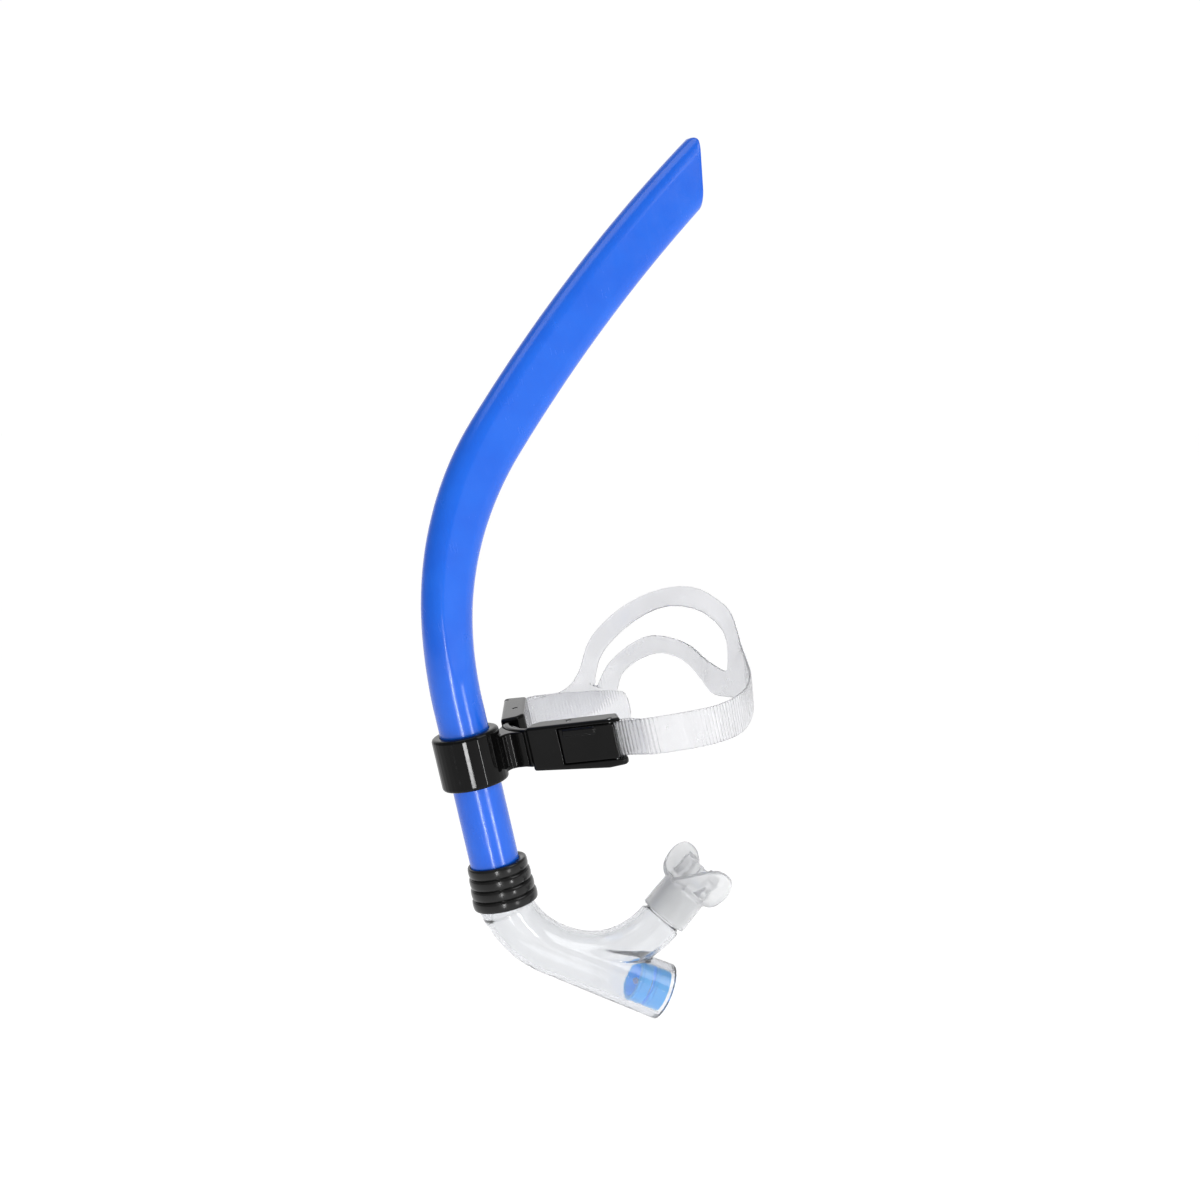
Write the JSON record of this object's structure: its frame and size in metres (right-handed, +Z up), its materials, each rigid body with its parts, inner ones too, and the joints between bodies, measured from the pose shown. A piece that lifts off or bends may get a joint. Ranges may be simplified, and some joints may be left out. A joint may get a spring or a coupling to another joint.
{
  "type": "swim snorkel",
  "caption": "Front-mounted swim snorkel: bent air tube, ribbed coupling, clear mouth end with purge valve, forehead clamp, buckles and a split head strap.",
  "frame": {"origin": "centre of the flat rest on the inner side of the forehead band", "axes": "+X out of the rest, from the tube towards the wearer's head; +Z up along the tube's straight lower length; -Y is the wearer's left"},
  "size_m": [0.2024, 0.1401, 0.4188],
  "materials": {
    "tube_blue": "glossy blue",
    "valve_blue": "satin light blue",
    "black_plastic": "glossy black",
    "black_rubber": "soft semi-gloss black",
    "clear_plastic": "clear, polished",
    "clear_silicone": "clear, slightly milky",
    "steel_pin": "plain drawn steel"
  },
  "bodies": {
    "bracket": {"forehead_band": "black_plastic", "tube_clamp": "black_plastic", "left_buckle_frame": "black_plastic", "right_buckle_frame": "black_plastic", "left_lever_pin": "steel_pin", "right_lever_pin": "steel_pin", "left_roller_pin": "steel_pin", "right_roller_pin": "steel_pin", "head_strap": "clear_silicone"},
    "tube": {"main_tube": "tube_blue", "ribbed_coupling": "black_rubber"},
    "mouth_end": {"lower_tube": "clear_plastic", "purge_valve_seat": "valve_blue", "purge_cap": "valve_blue"},
    "mouthpiece": {"mouthpiece": "clear_silicone"},
    "purge_flap": {"purge_diaphragm": "clear_silicone"},
    "left_lever": {"left_release_lever": "black_plastic"},
    "right_lever": {"right_release_lever": "black_plastic"},
    "left_roller": {"left_strap_roller": "black_plastic"},
    "right_roller": {"right_strap_roller": "black_plastic"}
  },
  "joints": [
    {"name": "tube_height", "type": "slide", "parent": "bracket", "child": "tube", "axis": [0, 0, 1], "range_m": [-0.0125, 0.033]},
    {"name": "mouth_end_swivel", "type": "hinge", "parent": "tube", "child": "mouth_end", "pos_m": [-0.027, 0, -0.065], "axis": [0, 0, 1], "range_deg": [-45, 45]},
    {"name": "mouthpiece_swivel", "type": "hinge", "parent": "mouth_end", "child": "mouthpiece", "pos_m": [0.05836, -0.01814, -0.09451], "axis": [0.7812, -0.166, 0.6018], "range_deg": [-30, 30]},
    {"name": "purge_flap_lift", "type": "slide", "parent": "mouth_end", "child": "purge_flap", "axis": [0.7812, -0.166, -0.6018], "range_m": [0, 0.0012], "stiffness_N_per_m": 60},
    {"name": "left_lever_lift", "type": "hinge", "parent": "bracket", "child": "left_lever", "pos_m": [0.02798, -0.04909, -0.0015], "axis": [0, 0, 1], "range_deg": [0, 12], "stiffness_Nm_per_rad": 0.05, "springref_deg": -11.46},
    {"name": "right_lever_lift", "type": "hinge", "parent": "bracket", "child": "right_lever", "pos_m": [0.01754, 0.05688, -0.0015], "axis": [0, 0, -1], "range_deg": [0, 12], "stiffness_Nm_per_rad": 0.05, "springref_deg": -11.46},
    {"name": "left_roller_spin", "type": "hinge", "parent": "bracket", "child": "left_roller", "pos_m": [0.01592, -0.02792, -0.0015], "axis": [0, 0, 1], "continuous": true},
    {"name": "right_roller_spin", "type": "hinge", "parent": "bracket", "child": "right_roller", "pos_m": [0.01261, 0.03302, -0.0015], "axis": [0, 0, 1], "continuous": true}
  ]
}
